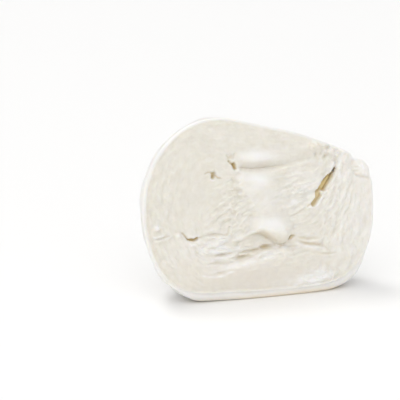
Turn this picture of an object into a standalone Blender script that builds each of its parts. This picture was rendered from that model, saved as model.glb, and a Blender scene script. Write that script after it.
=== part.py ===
"""Half of a fresh mozzarella ball, cut through the middle and stood up on its
side, so that the cut face leans back a little and looks towards -Y.

One closed solid: a wide, slightly egg-shaped cut face with a small knob at its
right end (where the cheese was pinched off), a rounded rim all round, a domed
skin behind, and a flat patch underneath where the soft cheese sags onto the
table. The cut face has soft swells and hollows, folds where the stretched
curd did not close up, and open slits.

Everything is worked out in millimetres in the plane of the cut face:
u to the right, v up along the face, w into the cheese. The last step tilts the
face back, flattens the base, and turns millimetres into metres.
The origin is the middle of the bounding box's bottom, +Z up.
"""

import math

import bpy
import numpy as np
from mathutils import Vector

# ---------------------------------------------------------------- dimensions
MM = 0.001

# cut face: distance from its middle to its edge, one value every 20 degrees,
# anticlockwise from the +u axis
FACE_RADII = (46.4, 42.8, 35.2, 31.0, 30.0, 32.8, 39.3, 44.0, 46.2,
              46.7, 47.1, 45.6, 37.6, 33.8, 34.1, 38.8, 46.2, 47.8)

KNOB_ANGLE = 14.8      # the pinched-off end, degrees
KNOB_SPREAD = 9.8
KNOB_OUT = 2.6
KNOB_DEPTH = 9.0       # how far the knob reaches back over the skin
NOTCH_ANGLE = 22.6     # the nick between the knob and the top edge
NOTCH_SPREAD = 2.1
NOTCH_IN = 1.6
TUCK_ANGLE = 11.0      # the fold that closes the knob off underneath
TUCK_SPREAD = 3.0
TUCK_IN = 0.8
NOTCH_DEPTH = 5.0      # how far both reach back

HALF_DEPTH = 33.5      # from the cut face to the back of the dome
DOME_POWER = 1.86      # section of the dome: 2 is an ellipse
SAG_POWER = 2.94       # fuller underneath, where the cheese sags

RIM_ROUND = 1.35       # rounding of the rim on the sides and top: how far back
RIM_OUT = 0.5          # and how far outwards
BASE_RIM_ROUND = 4.0   # rounding of the rim underneath
BASE_RIM_OUT = 4.0
BASE_CRISP = 0.2       # 0 is a quarter circle, more makes its corner tighter
BASE_TURN = 6.9        # the lowest part of the rim, degrees right of straight down
BASE_FROM = 0.51       # where that rounding begins and over how much it grows
BASE_OVER = 0.25

LEAN = math.radians(8.0)   # the cut face leans back
FLOOR_V = -36.4            # where the table is, measured down the cut face
SAG_SOFT = 0.45            # how softly the dome meets its flat base

FACE_STEPS = 36            # grid steps across the face, and over the dome
RIM_STEPS = 3

# swells and hollows of the cut face: middle u, v, half-widths, height
SWELLS = (
    (0.0, 19.6, 12.0, 3.0, 1.4),      # upper swell
    (-1.5, 5.5, 8.0, 8.0, 2.1),       # smooth tongue down the middle
    (2.5, -8.4, 7.5, 3.8, 3.2),       # lower swell
    (-25.0, -1.0, 10.0, 11.0, -0.8),  # hollow at the left
    (5.0, 14.8, 16.0, 1.6, -1.3),     # fold under the upper swell
    (1.0, -15.5, 15.0, 2.6, -1.5),    # fold under the lower swell
    (-20.0, -14.0, 9.0, 3.2, 0.9),    # bulging curd at the lower left
    (34.0, -4.0, 9.0, 16.0, 0.5),     # right side
)
CROWN = 0.8                # the face is a little fuller in its middle

# the skin: broad dents and swells of the dome, middle as (u, v, w), spread, height
DOME_SWELLS = (
    (-30.0, 16.0, 22.0, 15.0, 0.8),
    (-4.0, 8.0, 36.0, 12.0, -0.7),
    (18.0, -6.0, 31.0, 13.0, 0.7),
    (26.0, 22.0, 14.0, 9.0, -0.8),
    (-14.0, 29.0, 16.0, 11.0, 0.5),
    (-36.0, -12.0, 20.0, 10.0, -0.6),
)
# pleats that run into the knob over the skin
PLEATS = 7
PLEAT_HIGH = 0.55
PLEAT_MIDDLE = (47.0, 12.0, 3.0)
PLEAT_REACH = 17.0

# open slits and holes: path (u, v), half-width, depth, lean of the walls in u
OPENINGS = {
    "slit": (((31.3, 13.8), (28.6, 8.6), (25.2, 4.6), (21.8, 1.0), (19.0, -1.6)), 1.5, 5.0, 0.6),
    "crack": (((18.6, -1.9), (16.0, -3.1), (12.4, -4.8)), 0.45, 1.5, 0.0),
    "tear": (((-13.6, 21.2), (-11.9, 19.2), (-10.9, 17.0), (-10.1, 14.6)), 1.0, 2.6, 0.0),
    "pock": (((-22.6, 13.9), (-19.6, 13.0), (-16.8, 12.0)), 1.0, 2.2, 0.0),
    "gash": (((-34.0, -7.6), (-31.2, -9.6), (-28.6, -10.7), (-25.4, -10.8)), 1.0, 2.8, 0.0),
    "fold": (((-5.4, -11.0), (-1.4, -10.7), (2.4, -12.6), (5.8, -14.8), (9.2, -14.2)), 0.7, 2.2, 0.0),
    "pit": (((8.6, -13.2), (11.2, -12.6), (14.6, -13.4)), 1.1, 2.2, 0.0),
    "lip": (((9.0, -16.5), (1.0, -17.0), (-6.0, -18.0), (-11.8, -19.9)), 0.7, 1.8, 0.0),
    "seam": (((14.0, -15.2), (19.5, -16.4), (24.0, -17.2), (27.2, -19.2)), 0.5, 1.3, 0.0),
}


# ------------------------------------------------------------------- outline
def closed_spline(values):
    """Second derivatives of the smooth closed curve through evenly spaced values."""
    n = len(values)
    rows = np.zeros((n, n))
    right = np.zeros(n)
    for i in range(n):
        rows[i, i - 1] += 1.0
        rows[i, i] += 4.0
        rows[i, (i + 1) % n] += 1.0
        right[i] = 6.0 * (values[i - 1] - 2.0 * values[i] + values[(i + 1) % n])
    return np.linalg.solve(rows, right)


FACE_BENDS = closed_spline(FACE_RADII)


def table_radius(angle_deg):
    """The smooth closed curve through FACE_RADII."""
    n = len(FACE_RADII)
    x = (angle_deg % 360.0) / (360.0 / n)
    i = int(math.floor(x)) % n
    j = (i + 1) % n
    f = x - math.floor(x)
    g = 1.0 - f
    return (g * FACE_RADII[i] + f * FACE_RADII[j]
            + ((g ** 3 - g) * FACE_BENDS[i] + (f ** 3 - f) * FACE_BENDS[j]) / 6.0)


def hump(x, centre, spread):
    return math.exp(-((x - centre) / spread) ** 2)


def face_radius(angle_deg, w=0.0):
    """Radius of the outline; the knob and its nicks fade as w grows."""
    a = (angle_deg + 180.0) % 360.0 - 180.0
    knob = KNOB_OUT * hump(a, KNOB_ANGLE, KNOB_SPREAD) * hump(w, 0.0, KNOB_DEPTH)
    nicks = (NOTCH_IN * hump(a, NOTCH_ANGLE, NOTCH_SPREAD)
             + TUCK_IN * hump(a, TUCK_ANGLE, TUCK_SPREAD)) * hump(w, 0.0, NOTCH_DEPTH)
    return table_radius(angle_deg) + knob - nicks


def underside(angle_deg):
    """0 round the sides and top of the rim, 1 underneath."""
    t = (-math.sin(math.radians(angle_deg - BASE_TURN)) - BASE_FROM) / BASE_OVER
    t = min(max(t, 0.0), 1.0)
    return t * t * (3.0 - 2.0 * t)


def rim(angle_deg):
    """How far the rim's rounding reaches outwards and back."""
    b = underside(angle_deg)
    return (RIM_OUT + (BASE_RIM_OUT - RIM_OUT) * b,
            RIM_ROUND + (BASE_RIM_ROUND - RIM_ROUND) * b)


def height_at(u, v):
    """Relief of the cut face at a point given by u and v alone."""
    angle = math.degrees(math.atan2(v, u))
    return face_height(u, v, min(math.hypot(u, v) / face_radius(angle), 1.0))


def face_height(u, v, share):
    """Relief of the cut face, towards -w; it dies away at the rim."""
    h = CROWN * (1.0 - share * share)
    for cu, cv, su, sv, high in SWELLS:
        h += high * math.exp(-((u - cu) / su) ** 2 - ((v - cv) / sv) ** 2)
    return h * (1.0 - share ** 8)


# -------------------------------------------------------- section by section
def on_face(x, y):
    """A point of the square grid (-1..1) carried onto the cut face."""
    share, angle = square_to_disc(x, y)
    r = face_radius(angle) * share
    u, v = r * math.cos(math.radians(angle)), r * math.sin(math.radians(angle))
    return u, v, -face_height(u, v, share)


def on_rim(angle, step):
    """A point of the rim's rounding, step 0..1 from the face to the skin."""
    out, back = rim(angle)
    t = step * math.pi / 2
    crisp = 2.0 / (2.0 - BASE_CRISP * underside(angle))
    w = back * (1.0 - math.cos(t) ** crisp)
    r = face_radius(angle, w) + out * math.sin(t) ** crisp
    return r * math.cos(math.radians(angle)), r * math.sin(math.radians(angle)), w


def skin_height(u, v, w):
    """Dents, swells and pleats of the skin, outwards; none of it at the rim."""
    h = 0.0
    for cu, cv, cw, spread, high in DOME_SWELLS:
        h += high * math.exp(-((u - cu) ** 2 + (v - cv) ** 2 + (w - cw) ** 2) / spread ** 2)
    du, dv, dw = (p - c for p, c in zip((u, v, w), PLEAT_MIDDLE))
    far = math.sqrt(du * du + dv * dv + dw * dw)
    turn = math.atan2(dw, dv)
    reach = (far / PLEAT_REACH) ** 2
    h += PLEAT_HIGH * math.cos(2.0 * PLEATS * turn) * reach * 2.7 * math.exp(-2.2 * reach)
    fade = min(max((w - 1.0) / 5.0, 0.0), 1.0)
    return h * fade * fade * (3.0 - 2.0 * fade)


def on_dome(x, y):
    """A point of the square grid carried onto the domed skin."""
    share, angle = square_to_disc(x, y)
    out, back = rim(angle)
    t = share * math.pi / 2
    s, c = math.sin(t), max(math.cos(t), 0.0)
    sag = max(0.15 - math.sin(math.radians(angle)), 0.0) / 1.15
    power = DOME_POWER + (SAG_POWER - DOME_POWER) * sag ** 1.5
    size = (s ** power + c ** power) ** (-1.0 / power)
    w = back + (HALF_DEPTH - back) * c * size
    r = (face_radius(angle, w) + out) * s * size
    u, v = r * math.cos(math.radians(angle)), r * math.sin(math.radians(angle))
    h = skin_height(u, v, w) / math.sqrt(u * u + v * v + w * w)
    return u * (1.0 + h), v * (1.0 + h), w * (1.0 + h)


def square_to_disc(x, y):
    """Concentric map: rings of the square become rings of the disc."""
    if x == 0.0 and y == 0.0:
        return 0.0, 0.0
    if abs(x) >= abs(y):
        share, angle = abs(x), 45.0 * y / x + (0.0 if x > 0 else 180.0)
    else:
        share, angle = abs(y), 90.0 - 45.0 * x / y + (0.0 if y > 0 else 180.0)
    return share, angle


def stand_up(u, v, w):
    """Lean the face back, then press the underside flat onto z = 0."""
    x = u
    y = w * math.cos(LEAN) + v * math.sin(LEAN)
    z = (v - FLOOR_V) * math.cos(LEAN) - w * math.sin(LEAN)
    s = z / SAG_SOFT
    if s <= -1.0:
        z = 0.0
    elif s < 1.0:
        z = SAG_SOFT * (s + 1.0) ** 2 / 4.0
    return x, y, z


# ----------------------------------------------------------------- the cheese
def half_ball_mesh(name):
    """Cut face grid, rim rings and dome grid as one closed mesh."""
    n = FACE_STEPS
    points = []
    faces = []

    def grid(place):
        index = {}
        for j in range(n + 1):
            for i in range(n + 1):
                index[i, j] = len(points)
                points.append(place(2.0 * i / n - 1.0, 2.0 * j / n - 1.0))
        return index

    front = grid(on_face)
    back = grid(on_dome)
    edge = ([(i, 0) for i in range(n)] + [(n, j) for j in range(n)]
            + [(i, n) for i in range(n, 0, -1)] + [(0, j) for j in range(n, 0, -1)])

    for j in range(n):
        for i in range(n):
            a, b, c, d = (i, j), (i + 1, j), (i + 1, j + 1), (i, j + 1)
            # the diagonal runs outwards, so corners of the square stay clean
            corner = (2 * i + 1 - n) * (2 * j + 1 - n) < 0
            cuts = ((b, d, a), (d, b, c)) if corner else ((a, b, c), (a, c, d))
            for p, q, r in cuts:
                faces.append((front[p], front[q], front[r]))
                faces.append((back[r], back[q], back[p]))

    rings = [[front[e] for e in edge]]
    for k in range(1, RIM_STEPS):
        ring = []
        for i, j in edge:
            angle = square_to_disc(2.0 * i / n - 1.0, 2.0 * j / n - 1.0)[1]
            ring.append(len(points))
            points.append(on_rim(angle, k / RIM_STEPS))
        rings.append(ring)
    rings.append([back[e] for e in edge])
    m = len(edge)
    for near, far in zip(rings, rings[1:]):
        for k in range(m):
            faces.append((near[(k + 1) % m], near[k], far[k], far[(k + 1) % m]))

    mesh = bpy.data.meshes.new(name)
    mesh.from_pydata([Vector(stand_up(*p)) * MM for p in points], [], faces)
    mesh.validate()
    mesh.update()
    return mesh


def opening_mesh(name, path, half_width, depth, lean):
    """A spindle-shaped cutter along a path on the cut face: pointed ends,
    steep walls and a narrower bottom, standing 2.5 mm proud of the face."""
    stations = 4 * (len(path) - 1)
    centre, along = [], []
    for k in range(stations + 1):
        x = k / stations * (len(path) - 1)
        i = min(int(x), len(path) - 2)
        f = x - i
        p0, p1, p2, p3 = (path[min(max(i + d, 0), len(path) - 1)] for d in (-1, 0, 1, 2))
        centre.append(tuple(
            0.5 * (2 * p1[c] + (p2[c] - p0[c]) * f
                   + (2 * p0[c] - 5 * p1[c] + 4 * p2[c] - p3[c]) * f * f
                   + (3 * p1[c] - p0[c] - 3 * p2[c] + p3[c]) * f ** 3)
            for c in (0, 1)))
    for k in range(stations + 1):
        a, b = centre[max(k - 1, 0)], centre[min(k + 1, stations)]
        d = math.hypot(b[0] - a[0], b[1] - a[1])
        along.append(((b[0] - a[0]) / d, (b[1] - a[1]) / d))

    section = ((1.0, -2.5), (1.0, 0.0), (0.8, 0.55), (0.35, 1.0),
               (-0.35, 1.0), (-0.8, 0.55), (-1.0, 0.0), (-1.0, -2.5))
    points, rings = [], []
    for k in range(stations + 1):
        s = k / stations
        swell = max(math.sin(math.pi * s), 0.0) ** 0.6
        if 0 < k < stations:
            ring = []
            surface = -height_at(*centre[k])
            for side, down in section:
                w = down * depth * (0.35 + 0.65 * swell) if down > 0 else down
                off = side * half_width * swell
                ring.append(len(points))
                points.append((centre[k][0] - along[k][1] * off + lean * max(w, 0.0) / depth,
                               centre[k][1] + along[k][0] * off, surface + w))
            rings.append(ring)
    faces = []
    for near, far in zip(rings, rings[1:]):
        for k in range(len(section)):
            m = (k + 1) % len(section)
            faces.append((near[m], near[k], far[k], far[m]))
    faces.append(tuple(rings[0]))
    faces.append(tuple(reversed(rings[-1])))

    mesh = bpy.data.meshes.new(name)
    mesh.from_pydata([Vector(stand_up(*p)) * MM for p in points], [], faces)
    mesh.validate()
    mesh.update()
    return mesh


def curd_material():
    mat = bpy.data.materials.new("curd")
    mat.use_nodes = True
    shader = mat.node_tree.nodes["Principled BSDF"]
    shader.inputs["Base Color"].default_value = (0.86, 0.83, 0.76, 1.0)
    shader.inputs["Roughness"].default_value = 0.42
    shader.inputs["Metallic"].default_value = 0.0
    shader.inputs["Subsurface Weight"].default_value = 0.3
    shader.inputs["Subsurface Scale"].default_value = 0.004
    return mat


def main():
    for obj in list(bpy.data.objects):
        bpy.data.objects.remove(obj, do_unlink=True)

    cheese = bpy.data.objects.new("mozzarella_half", half_ball_mesh("mozzarella_half"))
    bpy.context.collection.objects.link(cheese)
    cheese.data.materials.append(curd_material())
    cheese.data.shade_smooth()

    cutters = []
    for name, (path, half_width, depth, lean) in OPENINGS.items():
        cutter = bpy.data.objects.new("cutter_" + name,
                                      opening_mesh(name, path, half_width, depth, lean))
        bpy.context.collection.objects.link(cutter)
        cutter.hide_render = True
        cutter.display_type = "WIRE"
        cutters.append(cutter)
        cut = cheese.modifiers.new(name, "BOOLEAN")
        cut.operation = "DIFFERENCE"
        cut.solver = "EXACT"
        cut.object = cutter

    # origin: the middle of the bounding box's bottom
    corners = np.array([v.co[:] for v in cheese.data.vertices])
    low, high = corners.min(0), corners.max(0)
    shift = Vector((-(low[0] + high[0]) / 2, -(low[1] + high[1]) / 2, -low[2]))
    for obj in [cheese] + cutters:
        for vertex in obj.data.vertices:
            vertex.co += shift
    print("box mm", np.round((high - low) / MM, 3), "shift mm", [round(c / MM, 4) for c in shift],
          "triangles", sum(len(p.vertices) - 2 for p in cheese.data.polygons))


main()
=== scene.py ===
"""Looks of the halved mozzarella ball.

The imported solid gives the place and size. Here the same body is made again as
one fine closed mesh: the torn cut face with its swells, folds, slits and
stretched-curd fibres, the rounded rim, and the glossy domed skin behind.
Everything is worked out in millimetres in the plane of the cut face
(u right, v up, w into the cheese), then leaned back and set on the floor.
"""
import math

import bpy
import numpy as np
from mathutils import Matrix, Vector


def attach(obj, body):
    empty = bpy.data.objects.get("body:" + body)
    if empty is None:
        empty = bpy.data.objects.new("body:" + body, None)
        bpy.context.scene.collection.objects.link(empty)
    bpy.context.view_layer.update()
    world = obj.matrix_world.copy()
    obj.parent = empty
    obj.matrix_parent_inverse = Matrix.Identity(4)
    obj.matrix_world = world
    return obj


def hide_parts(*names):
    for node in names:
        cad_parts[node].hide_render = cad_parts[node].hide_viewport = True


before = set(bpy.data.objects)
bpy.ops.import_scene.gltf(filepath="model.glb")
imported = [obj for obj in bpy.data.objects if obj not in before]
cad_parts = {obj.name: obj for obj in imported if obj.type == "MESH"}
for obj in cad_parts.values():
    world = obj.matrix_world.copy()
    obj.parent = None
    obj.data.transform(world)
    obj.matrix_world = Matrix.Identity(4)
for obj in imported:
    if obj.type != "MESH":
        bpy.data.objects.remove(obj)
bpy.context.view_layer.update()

MM = 0.001
rng = np.random.default_rng(20)

# ------------------------------------------------------------------ the body
# the same named sizes as the solid
FACE_RADII = np.array((46.4, 42.8, 35.2, 31.0, 30.0, 32.8, 39.3, 44.0, 46.2,
                       46.7, 47.1, 45.6, 37.6, 33.8, 34.1, 38.8, 46.2, 47.8))
KNOB_ANGLE, KNOB_SPREAD, KNOB_OUT, KNOB_DEPTH = 14.8, 9.8, 2.6, 9.0
NOTCH_ANGLE, NOTCH_SPREAD, NOTCH_IN, NOTCH_DEPTH = 22.6, 2.1, 1.6, 5.0
TUCK_ANGLE, TUCK_SPREAD, TUCK_IN = 11.0, 3.0, 0.8
HALF_DEPTH, DOME_POWER, SAG_POWER = 33.5, 1.86, 2.94
RIM_ROUND, RIM_OUT = 1.35, 0.5
BASE_RIM_ROUND, BASE_RIM_OUT, BASE_CRISP = 4.0, 4.0, 0.2
BASE_TURN, BASE_FROM, BASE_OVER = 6.9, 0.51, 0.25
LEAN = math.radians(8.0)
FLOOR_V = -36.4
SAG_SOFT = 0.45
CROWN = 0.8
SHIFT = (-0.02, -13.9752, 0.0)      # from these axes to the frame's origin

FACE_STEPS = 256      # grid steps across the cut face
DOME_STEPS = 128      # and over the dome, half as many
RIM_STEPS = 7


def closed_spline(values):
    n = len(values)
    rows = np.zeros((n, n))
    for i in range(n):
        rows[i, i - 1] += 1.0
        rows[i, i] += 4.0
        rows[i, (i + 1) % n] += 1.0
    bend = 6.0 * (np.roll(values, 1) - 2.0 * values + np.roll(values, -1))
    return np.linalg.solve(rows, bend)


FACE_BENDS = closed_spline(FACE_RADII)


def face_radius(angle, w=0.0):
    """Distance from the middle of the face to its edge; angle in degrees."""
    n = len(FACE_RADII)
    x = (angle % 360.0) / (360.0 / n)
    i = np.floor(x).astype(int) % n
    j = (i + 1) % n
    f = x - np.floor(x)
    g = 1.0 - f
    r = (g * FACE_RADII[i] + f * FACE_RADII[j]
         + ((g ** 3 - g) * FACE_BENDS[i] + (f ** 3 - f) * FACE_BENDS[j]) / 6.0)
    a = (angle + 180.0) % 360.0 - 180.0
    knob = KNOB_OUT * np.exp(-((a - KNOB_ANGLE) / KNOB_SPREAD) ** 2 - (w / KNOB_DEPTH) ** 2)
    nicks = (NOTCH_IN * np.exp(-((a - NOTCH_ANGLE) / NOTCH_SPREAD) ** 2)
             + TUCK_IN * np.exp(-((a - TUCK_ANGLE) / TUCK_SPREAD) ** 2)) * np.exp(-(w / NOTCH_DEPTH) ** 2)
    return r + knob - nicks


def smooth(x):
    x = np.clip(x, 0.0, 1.0)
    return x * x * (3.0 - 2.0 * x)


def underside(angle):
    return smooth((-np.sin(np.radians(angle - BASE_TURN)) - BASE_FROM) / BASE_OVER)


def rim_size(angle):
    b = underside(angle)
    return RIM_OUT + (BASE_RIM_OUT - RIM_OUT) * b, RIM_ROUND + (BASE_RIM_ROUND - RIM_ROUND) * b


def square_to_disc(x, y):
    """Concentric map of the square (-1..1) to share of the radius and angle."""
    side = np.abs(x) >= np.abs(y)
    share = np.where(side, np.abs(x), np.abs(y))
    safe_x = np.where(x == 0, 1e-9, x)
    safe_y = np.where(y == 0, 1e-9, y)
    angle = np.where(side, 45.0 * y / safe_x + np.where(x > 0, 0.0, 180.0),
                     90.0 - 45.0 * x / safe_y + np.where(y > 0, 0.0, 180.0))
    return share, np.where(share == 0, 0.0, angle)


def stand_up(p):
    """Lean the face back and press the underside flat onto the floor."""
    u, v, w = p[:, 0], p[:, 1], p[:, 2]
    x = u
    y = w * math.cos(LEAN) + v * math.sin(LEAN)
    z = (v - FLOOR_V) * math.cos(LEAN) - w * math.sin(LEAN)
    s = z / SAG_SOFT
    z = np.where(s <= -1.0, 0.0, np.where(s < 1.0, SAG_SOFT * (s + 1.0) ** 2 / 4.0, z))
    return (np.stack([x, y, z], 1) + np.array(SHIFT)) * MM


# ------------------------------------------------- relief of the cut face
CELL = 0.2
U0, U1, V0, V1 = -53.0, 53.0, -43.0, 38.0
us = np.arange(U0, U1 + CELL / 2, CELL)
vs = np.arange(V0, V1 + CELL / 2, CELL)
U, V = np.meshgrid(us, vs)
ANGLE = np.degrees(np.arctan2(V, U))
SHARE = np.hypot(U, V) / face_radius(ANGLE)
EDGE = (1.0 - SHARE) * face_radius(ANGLE)       # rough distance in from the edge


def blur(a, sigma):
    """Gaussian blur, sigma in millimetres."""
    n = max(int(3.0 * sigma / CELL), 1)
    k = np.exp(-0.5 * (np.arange(-n, n + 1) * CELL / sigma) ** 2)
    k /= k.sum()
    p = np.pad(a, n, mode="edge")
    p = sum(k[i] * p[:, i:i + a.shape[1]] for i in range(2 * n + 1))
    return sum(k[i] * p[i:i + a.shape[0], :] for i in range(2 * n + 1))


def noise(sigma, seed):
    a = blur(np.random.default_rng(seed).standard_normal(U.shape), sigma)
    return a / a.std()


def sample(a, u, v):
    """Bilinear lookup of a map at face coordinates."""
    x = np.clip((u - U0) / CELL, 0, a.shape[1] - 1.001)
    y = np.clip((v - V0) / CELL, 0, a.shape[0] - 1.001)
    i, j = x.astype(int), y.astype(int)
    f, g = x - i, y - j
    return ((1 - f) * (1 - g) * a[j, i] + f * (1 - g) * a[j, i + 1]
            + (1 - f) * g * a[j + 1, i] + f * g * a[j + 1, i + 1])


def bump(cu, cv, su, sv, turn=0.0):
    """Soft round hill of height 1, turned anticlockwise by `turn` degrees."""
    c, s = math.cos(math.radians(turn)), math.sin(math.radians(turn))
    a = (U - cu) * c + (V - cv) * s
    b = -(U - cu) * s + (V - cv) * c
    return np.exp(-(a / su) ** 2 - (b / sv) ** 2)


def curve_through(points, per=8):
    """Points along a smooth curve (Catmull-Rom) through the given ones."""
    p = np.array(points, float)
    q = np.vstack([2 * p[0] - p[1], p, 2 * p[-1] - p[-2]])
    out = []
    for i in range(len(p) - 1):
        f = np.linspace(0, 1, per, endpoint=False)[:, None]
        a, b, c, d = q[i:i + 4]
        out.append(0.5 * (2 * b + (c - a) * f + (2 * a - 5 * b + 4 * c - d) * f ** 2
                          + (3 * b - a - 3 * c + d) * f ** 3))
    return np.vstack(out + [p[-1:]])


def along(points, reach=9.0):
    """Distance to a curve, which side (+ is left of its direction) and how far
    along it (0..1), all over the map; far away it is only roughly right."""
    p = curve_through(points)
    length = np.concatenate([[0], np.cumsum(np.hypot(*np.diff(p, axis=0).T))])
    best = np.full(U.shape, 1e9)
    side = np.zeros(U.shape)
    t = np.zeros(U.shape)
    for k in range(len(p) - 1):
        a, b = p[k], p[k + 1]
        d = b - a
        n = math.hypot(*d)
        if n < 1e-9:
            continue
        f = np.clip(((U - a[0]) * d[0] + (V - a[1]) * d[1]) / n ** 2, 0, 1)
        x, y = U - a[0] - f * d[0], V - a[1] - f * d[1]
        e = np.hypot(x, y)
        near = e < best
        best = np.where(near, e, best)
        side = np.where(near, d[0] * (V - a[1]) - d[1] * (U - a[0]), side)
        t = np.where(near, (length[k] + f * n) / length[-1], t)
    return best, np.sign(side), t


def inside(points):
    """Signed distance to a closed outline, positive inside."""
    p = np.array(points, float)
    best = np.full(U.shape, 1e9)
    odd = np.zeros(U.shape, bool)
    for a, b in zip(p, np.roll(p, -1, 0)):
        d = b - a
        f = np.clip(((U - a[0]) * d[0] + (V - a[1]) * d[1]) / (d @ d), 0, 1)
        best = np.minimum(best, np.hypot(U - a[0] - f * d[0], V - a[1] - f * d[1]))
        cross = (a[1] > V) != (b[1] > V)
        odd ^= cross & (U < (b[0] - a[0]) * (V - a[1]) / (b[1] - a[1] + 1e-12) + a[0])
    return np.where(odd, best, -best)


def taper(t, ends=0.25):
    """0 at both ends of a curve, 1 in between."""
    return smooth(t / ends) * smooth((1 - t) / ends)


def fibres(direction, thick, length, seed):
    """Streaks that follow a direction (degrees) laid down all over the face."""
    a = noise(thick, seed)
    c, s = np.cos(np.radians(direction)), np.sin(np.radians(direction))
    total = a.copy()
    steps = max(int(length / (2 * CELL)), 1)
    for sign in (1, -1):
        u, v = U.copy(), V.copy()
        for _ in range(steps):
            cu, cv = sample(c, u, v), sample(s, u, v)
            u = u + sign * cu * CELL
            v = v + sign * cv * CELL
            total += sample(a, u, v)
    return total / total.std()


def knots(s, *pairs):
    """Height read off straight pieces between (place, height) knots."""
    x, h = zip(*pairs)
    return np.interp(s, x, h)


H = CROWN * (1.0 - SHARE ** 2)          # height of the face, towards the viewer
PAINTED_SHADE = np.zeros(U.shape)                # painted shade: darker, yellower colour in cavities, creases and under the swells
WET_AND_HIGHLIGHT = np.zeros(U.shape)                # smooth, wet curd, painted whiter: painted highlight on the swells' tops
WHITE_AND_GLINT = np.zeros(U.shape)               # thin torn edges painted white, partly white curd and partly painted highlight

# --- the groove under the upper swell
groove_v = 14.5 + np.where(U > -2.0, 0.0058, 0.016) * (U + 2.0) ** 2
s = V - groove_v
full = knots(s, (0.0, -1.1), (0.6, -1.0), (2.9, 1.25), (3.7, 1.6), (4.9, 1.2), (6.8, 0.2), (8.5, 0.0))
plain = knots(s, (0.0, -0.9), (0.5, -0.85), (2.6, -0.1), (4.5, 0.12), (8.5, 0.0))
to_right = smooth((U - 0.5) / 9.0)
ends = smooth((U + 10.2) / 3.0) * smooth((25.0 - U) / 9.0)
H += ends * np.where(s >= 0.0, full + (plain - full) * to_right, 0.0)
lip_h = knots(s, (-7.0, 0.0), (-3.4, 0.15), (-2.2, 0.25), (-1.7, 0.55), (-1.2, 0.6), (-0.45, -0.3), (0.0, -0.9))
H += ends * np.where(s < 0.0, lip_h, 0.0) * to_right
# painted highlight on the upper swell's top, where the curd is also wet and smooth
WET_AND_HIGHLIGHT = np.maximum(WET_AND_HIGHLIGHT, 1.0 * bump(-2.6, 19.6, 6.2, 2.1, -2.0) * (s > 0) + 0.3 * bump(6.0, 19.6, 5.0, 1.8) * (s > 0))

# painted shade in the groove under the upper swell
PAINTED_SHADE = np.maximum(PAINTED_SHADE, 0.11 * ends * (1.0 - 0.5 * to_right) * np.exp(-((s - 0.7) / 1.1) ** 2))

# --- the tongue of curd between the groove and the crevice
fold_v = knots(U, (-9.0, -12.6), (-7.0, -11.4), (-5.3, -10.8), (-2.8, -10.3), (-0.7, -10.6), (1.3, -11.7), (2.9, -12.9),
               (4.1, -13.9), (5.3, -14.8), (6.5, -15.4), (8.2, -15.4), (9.9, -14.4), (11.5, -13.2), (14.0, -12.0))
under = knots(U, (-7.0, 1.6), (-3.0, 2.3), (2.0, 3.4), (5.0, 5.0), (9.0, 5.0), (12.0, 3.0))
down = np.clip((V - fold_v) / under, 0.0, 1.0)
rise = 1.0 - (1.0 - down) ** 1.7
tongue = knots(V, (-16.0, 4.1), (-9.6, 4.1), (-8.6, 3.9), (-6.0, 2.7), (-4.4, 1.9), (-3.0, 1.75), (-1.0, 2.0), (2.0, 2.35), (6.0, 2.7),
               (8.0, 2.7), (10.5, 2.2), (13.0, 0.85), (14.1, -0.35), (14.6, -0.9), (15.6, -0.9))
left_edge = knots(V, (-13.0, -7.6), (-9.5, -6.9), (-7.0, -5.8), (-4.0, -5.2), (-1.5, -6.8), (1.0, -9.0), (4.0, -10.4), (6.8, -11.5),
                  (9.2, -12.4), (11.4, -11.3), (13.3, -10.0), (15.6, -9.4))
left_edge = left_edge + 0.35 * np.sin(V * 2.1) * smooth((V - 1.0) / 4.0)
left_soft = knots(V, (-12.0, 3.2), (-4.0, 5.0), (2.0, 5.0), (8.0, 3.2), (15.0, 2.4))
right_edge = knots(V, (-14.0, 13.6), (-8.0, 13.4), (-5.0, 11.6), (-2.0, 10.5), (4.0, 10.5), (10.0, 11.0), (15.6, 12.5))
right_soft = knots(V, (-14.0, 5.0), (-8.0, 7.0), (0.0, 9.5), (15.0, 11.0))
body = smooth((U - left_edge) / left_soft) * smooth((right_edge - U) / right_soft)
H += np.where(V < groove_v + 0.9, tongue, 0.0) * body * rise * np.where(V > groove_v, 1.0 - to_right, 1.0) * smooth((groove_v + 0.3 - V) / 0.3)
# painted highlight on the tongue's top and on the lower swell
WET_AND_HIGHLIGHT = np.maximum(WET_AND_HIGHLIGHT, body * np.minimum(1.0, bump(-2.2, 10.6, 6.0, 2.3, -12.0) + 0.55 * bump(-4.0, 7.0, 4.5, 1.7)))
WET_AND_HIGHLIGHT = np.maximum(WET_AND_HIGHLIGHT, 1.0 * bump(2.6, -6.9, 7.0, 3.0, -4.0) * smooth((V - fold_v - 0.3) / 2.2))

# --- broad hollows and swells of the rest
H -= 1.0 * bump(-25.0, 1.0, 10.0, 12.0)
H += 0.9 * bump(-20.5, -13.2, 10.5, 2.5, 2.0)
H += 0.6 * bump(34.0, -4.0, 8.0, 18.0)
H += 1.0 * bump(20.0, 6.5, 7.0, 6.0, 40.0) - 1.1 * bump(18.8, 2.0, 3.2, 2.6, 50.0)
H += 1.3 * bump(0.0, -23.5, 30.0, 5.0, 3.0)
H += 0.5 * bump(-2.0, 26.0, 26.0, 3.5, -6.0)

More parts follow.
